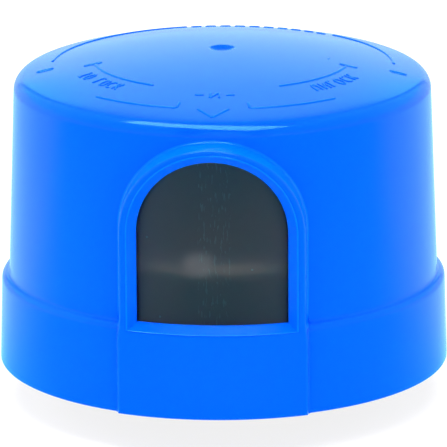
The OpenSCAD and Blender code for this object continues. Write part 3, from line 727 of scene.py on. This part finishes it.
def finish_of(name, tone, gloss, fine=1500.0, bump=0.05, broad=60.0, drift=0.1, shade=0.2, metal=0.0, level=0.5,
              tint=WHITE, under=0.0, wave=0.0, speck=None, recess=None, scratch=None, glass_ior=None):
    """A material: the shared grain gives tone, gloss and bump. Where asked for, specks and scratches have a tone
    of their own, the window's reveal, hood and flanks get a lighter tone as painted light, light spreads under
    the surface, a slow wave bends it, or it is glass."""
    material = bpy.data.materials.new(name)
    material.use_nodes = True
    tree = material.node_tree
    surface = tree.nodes["Principled BSDF"].inputs
    grain = shared(
        tree, MOULD_GRAIN, Fine=fine, Broad=broad, Gloss=gloss, Drift=drift, Shade=shade, Tone=(*tone, 1))
    tree.links.new(grain["Roughness"], surface["Roughness"])
    colour = grain["Color"]
    if speck:
        speck_tone, scale, size, share = speck
        dots = shared(tree, SPECKS, Scale=scale, Size=size, Share=share)
        colour = two_tone(tree, dots["Mask"], colour, speck_tone)
    # Painted light: a lighter tone on the window's reveal, hood and flanks
    if recess:
        colour = two_tone(tree, shared(tree, PAINTED_LIGHT_GROUP)["Mask"], colour, recess)
    if scratch:
        scratch_tone, middle, cut = scratch
        colour = two_tone(tree, shared(tree, SCRATCHES, Middle=middle, Cut=cut)["Mask"], colour, scratch_tone)
    tree.links.new(colour, surface["Base Color"])
    relief = put(tree, "ShaderNodeBump")
    relief.inputs["Strength"].default_value = bump
    relief.inputs["Distance"].default_value = GRAIN_DEPTH
    tree.links.new(grain["Height"], relief.inputs["Height"])
    if wave:
        swell = put(tree, "ShaderNodeBump")
        swell.inputs["Distance"].default_value = wave
        tree.links.new(grain["Swell"], swell.inputs["Height"])
        tree.links.new(swell.outputs["Normal"], relief.inputs["Normal"])
    tree.links.new(relief.outputs["Normal"], surface["Normal"])
    surface["Metallic"].default_value = metal
    surface["Specular IOR Level"].default_value = level
    surface["Specular Tint"].default_value = (*tint, 1)
    surface["Subsurface Weight"].default_value = under
    surface["Subsurface Radius"].default_value = UNDER_RADIUS
    surface["Subsurface Scale"].default_value = UNDER_SCALE
    if glass_ior:
        surface["Transmission Weight"].default_value = 1.0
        surface["IOR"].default_value = glass_ior
    return material


def dress(names, material):
    """Gives CAD nodes or pieces one material in place of those they came with."""
    for name in names:
        piece = nodes[name] if name in nodes else bpy.data.objects[name]
        piece.data.materials.clear()
        piece.data.materials.append(material)


# Pieces and nodes, with the name, tone, gloss and other values of their finish
FINISHES = [
    # The moulding gets a lighter tone on the window's reveal, hood and flanks: painted light for the light they
    # catch
    (["cover_moulding"], "blue_moulding", (0.0, 0.068, 0.95), 0.11,
     dict(fine=900.0, bump=0.02, broad=45.0, drift=0.05, shade=0.05, tint=(0.22, 1.0, 1.0), under=0.4, wave=0.0004,
          recess=(0.0, 0.112, 0.95))),
    # The marks are of the moulding's own plastic; their darker blue is painted shade for the raised lines
    (["top_marks"], "blue_marks_shaded", (0.0, 0.085, 0.72), 0.15,
     dict(fine=900.0, bump=0.02, shade=0.05, level=0.3, tint=(0.2, 1.0, 1.0))),
    (["window_glass"], "smoked_pane", (0.56, 0.295, 0.307), 0.46,
     dict(fine=300.0, bump=0.01, broad=90.0, drift=0.05, shade=0.15, level=0.12, tint=(0.9, 0.8, 1.0),
          speck=((0.8, 0.85, 0.9), 420.0, 0.09, 0.12), scratch=((0.76, 0.6, 0.61), 0.0005, 0.6), glass_ior=1.45)),
    (["base"], "black_moulding", (0.018, 0.018, 0.02), 0.42, dict(bump=0.08)),
    (["gasket"], "gasket_rubber", (0.03, 0.03, 0.032), 0.75,
     dict(fine=2200.0, bump=0.25, shade=0.3, speck=((0.08, 0.08, 0.08), 900.0, 0.16, 0.2))),
    (["line_blade", "load_blade", "neutral_blade"], "blade_brass", (0.78, 0.56, 0.22), 0.26,
     dict(fine=1800.0, broad=160.0, shade=0.1, metal=1.0)),
    (["blade_rivets"], "rivet_brass", (0.72, 0.55, 0.27), 0.3,
     dict(fine=1800.0, broad=300.0, shade=0.1, metal=1.0)),
    (["cover_screws", "board_screws"], "plated_steel", (0.6, 0.6, 0.58), 0.28,
     dict(fine=2000.0, broad=300.0, drift=0.2, metal=1.0)),
    (["circuit_board"], "board_fibre", (0.6, 0.88, 0.7), 0.4,
     dict(fine=1600.0, bump=0.1, shade=0.3, speck=((0.54, 0.78, 0.62), 300.0, 0.16, 0.3))),
    (["light_sensor"], "sensor_cell", (0.46, 0.68, 0.63), 0.35, dict(shade=0.3)),
    (["relay"], "relay_case", (0.05, 0.12, 0.4), 0.4, dict(bump=0.1, shade=0.1)),
    (["film_capacitor"], "film_case", (0.6, 0.42, 0.05), 0.4, dict(fine=1200.0, bump=0.08, shade=0.15)),
    (["electrolytic_capacitor"], "can_sleeve", (0.04, 0.04, 0.08), 0.3, dict(fine=1200.0, bump=0.03, shade=0.15)),
    (["varistor"], "varistor_coat", (0.05, 0.12, 0.42), 0.45, dict(fine=900.0, bump=0.15)),
    (["rectifier_diodes", "transistor"], "diode_body", (0.03, 0.03, 0.03), 0.5, dict(fine=1800.0, bump=0.1)),
    (["zener_diode"], "zener_glass", (0.5, 0.2, 0.08), 0.2, dict(bump=0.03)),
    (["power_resistor"], "power_coat", (0.45, 0.42, 0.36), 0.6, dict(bump=0.15)),
    (["signal_resistors"], "resistor_coat", (0.55, 0.42, 0.25), 0.4, dict(bump=0.08)),
    (["line_wire"], "wire_black", (0.02, 0.02, 0.02), 0.4, {}),
    (["load_wire"], "wire_red", (0.5, 0.03, 0.02), 0.4, dict(shade=0.1)),
    (["neutral_wire"], "wire_white", (0.75, 0.74, 0.7), 0.4, dict(shade=0.1)),
]
for names, finish, tone, gloss, values in FINISHES:
    dress(names, finish_of(finish, tone, gloss, **values))

# Floor, light and background, with the tones of what glossy surfaces mirror
FLOOR_HALF = 3.0
FLOOR_PALE, FLOOR_SEEN = (0.75, 0.75, 0.75), (0.22, 0.22, 0.22)
FLOOR_GLOW, FLOOR_MIRROR = 0.82, 1.22
FLOOR_FRONT, FLOOR_BEHIND, FLOOR_FAR = (0.06, 1.0, 1.0), (0.5, 1.0, 1.0), (0.5, 0.76, 1.0)
SKY_LOW, SKY_HIGH, SKY_SIDES = (0.5, 0.8, 1.0), (0.5, 1.0, 1.0), (0.28, 1.0, 1.0)
AMBIENT = 0.45
VAULT_BEND = 4.5


def shown_rays(tree):
    """Two masks of rays that show the background as such: from the camera or through glass, and off glossy
    surfaces."""
    rays = put(tree, "ShaderNodeLightPath").outputs
    return worked(tree, "MAXIMUM", rays["Is Camera Ray"], rays["Is Transmission Ray"]), rays["Is Glossy Ray"]


floor_z = cad_box[0].z
corners = [(x * FLOOR_HALF, y * FLOOR_HALF, floor_z) for x, y in ((-1, -1), (1, -1), (1, 1), (-1, 1))]
floor_mesh = bpy.data.meshes.new("floor")
floor_mesh.from_pydata(corners, [], [(0, 1, 2, 3)])
floor = bpy.data.objects.new("floor", floor_mesh)
scene.collection.objects.link(floor)

# The floor takes the shadow; its mirror image is white under the object, and seen from below it is clear
paper = bpy.data.materials.new("floor_paper")
paper.use_nodes = True
tree = paper.node_tree
tree.nodes.remove(tree.nodes["Principled BSDF"])
direct, glossy = shown_rays(tree)
place = put(tree, "ShaderNodeNewGeometry").outputs
plain = put(tree, "ShaderNodeBsdfDiffuse")
pale = two_tone(tree, direct, FLOOR_PALE, FLOOR_SEEN)
tree.links.new(two_tone(tree, glossy, pale, BLACK), plain.inputs["Color"])
behind = along(tree, place["Position"], (0.0, 1.0, 0.0))
back_tone = two_tone(tree, ramp(tree, behind, 0.2, 0.36), FLOOR_BEHIND, FLOOR_FAR)
open_tone = two_tone(tree, ramp(tree, behind, -0.03, 0.06), FLOOR_FRONT, back_tone)
clear_of_part = ramp(tree, length_of(tree, place["Position"]), 0.041, 0.044)
mirror_tone = two_tone(tree, clear_of_part, WHITE, open_tone)
glow = put(tree, "ShaderNodeEmission")
tree.links.new(two_tone(tree, glossy, WHITE, mirror_tone), glow.inputs["Color"])
mirrored = worked(tree, "MULTIPLY", glossy, FLOOR_MIRROR)
tree.links.new(worked(tree, "MULTIPLY_ADD", direct, FLOOR_GLOW, mirrored), glow.inputs["Strength"])
both = put(tree, "ShaderNodeAddShader")
tree.links.new(plain.outputs[0], both.inputs[0])
tree.links.new(glow.outputs[0], both.inputs[1])
pick_side = put(tree, "ShaderNodeMixShader")
tree.links.new(place["Backfacing"], pick_side.inputs[0])
tree.links.new(both.outputs[0], pick_side.inputs[1])
tree.links.new(put(tree, "ShaderNodeBsdfTransparent").outputs[0], pick_side.inputs[2])
tree.links.new(pick_side.outputs[0], tree.nodes["Material Output"].inputs["Surface"])
floor_mesh.materials.append(paper)

# The world is an even ambient light; what shows of it is white, and its mirror image dims towards the zenith
world = bpy.data.worlds.new("studio")
scene.world = world
world.use_nodes = True
tree = world.node_tree
ground = tree.nodes["Background"].inputs
direct, glossy = shown_rays(tree)
place = put(tree, "ShaderNodeTexCoord").outputs["Generated"]
height = along(tree, place, (0.0, 0.0, 1.0))
across = along(tree, place, (math.cos(AZIMUTH), math.sin(AZIMUTH), 0.0))
square = worked(tree, "MULTIPLY", across, across)
vault = worked(tree, "MULTIPLY_ADD", square, VAULT_BEND, height)
sides = worked(tree, "MAXIMUM", ramp(tree, vault, 0.62, 0.75, 1.0, 0.4), ramp(tree, square, 0.05, 0.2, 0.0, 0.85))
sweep = worked(tree, "MULTIPLY", ramp(tree, height, 0.25, 0.62, 1.45, 1.3), sides)
shown = worked(tree, "MAXIMUM", direct, worked(tree, "MULTIPLY", glossy, sweep))
ambient = worked(tree, "MULTIPLY", worked(tree, "SUBTRACT", 1.0, glossy), AMBIENT)
flank = worked(tree, "MULTIPLY", ramp(tree, square, 0.012, 0.04), ramp(tree, height, 0.2, 0.36))
cool = worked(tree, "MAXIMUM", flank, ramp(tree, height, 0.66, 0.82))
middle_tone = two_tone(tree, ramp(tree, height, 0.0, 0.65), SKY_LOW, SKY_HIGH)
sky_tone = two_tone(tree, cool, middle_tone, SKY_SIDES)
mirror_tone = two_tone(tree, ramp(tree, height, -0.05, -0.02), WHITE, sky_tone)
tree.links.new(two_tone(tree, glossy, WHITE, mirror_tone), ground["Color"])
tree.links.new(worked(tree, "MAXIMUM", shown, ambient), ground["Strength"])


def soft_box(name, place, aim, size, power, glossy=False, roll=0.0):
    """A rectangular area lamp at a place, turned to an aim and rolled about that line, in metres, watts and
    degrees. Unless it is glossy, no surface mirrors it."""
    data = bpy.data.lights.new(name, "AREA")
    data.shape = "RECTANGLE"
    data.size, data.size_y = size
    data.energy = power
    lamp = bpy.data.objects.new(name, data)
    scene.collection.objects.link(lamp)
    lamp.location = place
    facing = (Vector(aim) - Vector(place)).to_track_quat("-Z", "Y")
    lamp.rotation_euler = (facing @ Quaternion((0, 0, 1), math.radians(roll))).to_euler()
    lamp.visible_glossy = glossy


soft_box("top_box", (0.0, 0.1, 1.1), (0, 0, 0.03), (1.2, 1.2), 12.0)
soft_box("edge_box", (-0.05, -0.25, 0.98), (0, 0, 0.05), (1.1, 0.45), 10.0, glossy=True, roll=-22)
soft_box("left_box", (-0.95, 0.55, 0.35), (0, 0, 0.02), (0.8, 0.8), 13.0)
soft_box("right_box", (0.95, 0.55, 0.35), (0, 0, 0.02), (0.8, 0.8), 8.0)
soft_box("front_left_box", (-0.85, -0.85, 0.16), (0, 0, 0.02), (0.8, 0.3), 5.5)
soft_box("front_right_box", (0.85, -0.85, 0.16), (0, 0, 0.02), (0.8, 0.3), 5.5)

scene.view_settings.view_transform = "Standard"
